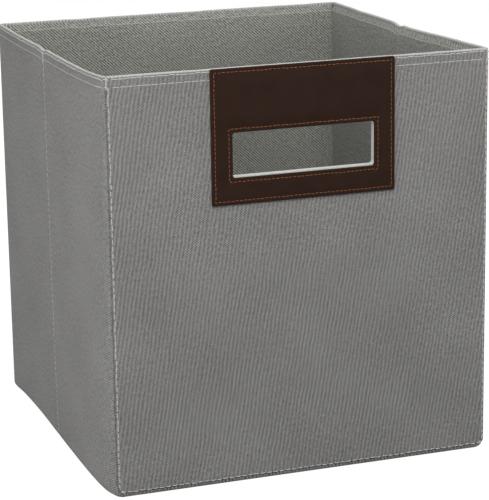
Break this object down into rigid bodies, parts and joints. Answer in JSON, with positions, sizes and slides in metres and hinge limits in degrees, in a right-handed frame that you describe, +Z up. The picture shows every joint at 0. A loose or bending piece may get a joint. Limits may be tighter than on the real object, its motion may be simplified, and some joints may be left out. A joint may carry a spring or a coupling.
{
  "type": "fabric storage bin",
  "caption": "Square fabric storage bin with stiff board walls, a leather patch round a hand slot, side walls that crease inwards to fold flat, and a loose base insert.",
  "frame": {"origin": "on the surface the bin stands on, under the middle of its box", "axes": "+Z up, the front wall with the handle patch faces -Y, +X to the right seen from the front"},
  "size_m": [0.33, 0.3256, 0.344],
  "materials": {
    "outer_cloth": "mid warm grey twill weave, matt",
    "lining_cloth": "greenish grey twill weave, matt",
    "stiff_board": "plain grey-brown board",
    "grey_thread": "pale grey-beige thread",
    "slot_binding_cloth": "pale grey cloth binding",
    "brown_leather": "dark brown smooth leather, soft sheen",
    "tan_thread": "orange-brown thread"
  },
  "bodies": {
    "back_wall": {"base_cloth": "outer_cloth", "back_outer_cloth": "outer_cloth", "back_board": "stiff_board", "back_lining": "lining_cloth", "back_stitching": "grey_thread"},
    "left_rear_wall": {"left_rear_outer_cloth": "outer_cloth", "left_rear_board": "stiff_board", "left_rear_lining": "lining_cloth", "left_rear_stitching": "grey_thread"},
    "left_front_wall": {"left_front_outer_cloth": "outer_cloth", "left_front_board": "stiff_board", "left_front_lining": "lining_cloth", "left_front_stitching": "grey_thread"},
    "front_wall": {"front_outer_cloth": "outer_cloth", "front_board": "stiff_board", "front_lining": "lining_cloth", "front_stitching": "grey_thread", "slot_binding": "slot_binding_cloth", "handle_patch": "brown_leather", "handle_stitching": "tan_thread"},
    "right_front_wall": {"right_front_outer_cloth": "outer_cloth", "right_front_board": "stiff_board", "right_front_lining": "lining_cloth", "right_front_stitching": "grey_thread"},
    "right_rear_wall": {"right_rear_outer_cloth": "outer_cloth", "right_rear_board": "stiff_board", "right_rear_lining": "lining_cloth", "right_rear_stitching": "grey_thread"},
    "base_insert": {"base_insert_board": "stiff_board", "base_insert_cover": "lining_cloth"}
  },
  "joints": [
    {"name": "fold", "type": "hinge", "parent": "back_wall", "child": "left_rear_wall", "pos_m": [-0.1598, 0.1576, 0], "axis": [0, 0, 1], "range_deg": [0, 86]},
    {"name": "left_crease", "type": "hinge", "parent": "left_rear_wall", "child": "left_front_wall", "pos_m": [-0.165, 0.0008, 0], "axis": [0, 0, 1], "range_deg": [-172, 0]},
    {"name": "left_front_corner", "type": "hinge", "parent": "left_front_wall", "child": "front_wall", "pos_m": [-0.1598, -0.156, 0], "axis": [0, 0, 1], "range_deg": [0, 86]},
    {"name": "right_front_corner", "type": "hinge", "parent": "front_wall", "child": "right_front_wall", "pos_m": [0.1598, -0.156, 0], "axis": [0, 0, 1], "range_deg": [0, 86]},
    {"name": "right_crease", "type": "hinge", "parent": "right_front_wall", "child": "right_rear_wall", "pos_m": [0.165, 0.0008, 0], "axis": [0, 0, 1], "range_deg": [-172, 0]},
    {"name": "base_lift", "type": "slide", "parent": "back_wall", "child": "base_insert", "axis": [0, 0, 1], "range_m": [0, 0.36]}
  ],
  "couplings": [
    {"joint": "left_crease", "follows": "fold", "ratio": -2},
    {"joint": "left_front_corner", "follows": "fold", "ratio": 1},
    {"joint": "right_front_corner", "follows": "fold", "ratio": 1},
    {"joint": "right_crease", "follows": "fold", "ratio": -2}
  ]
}
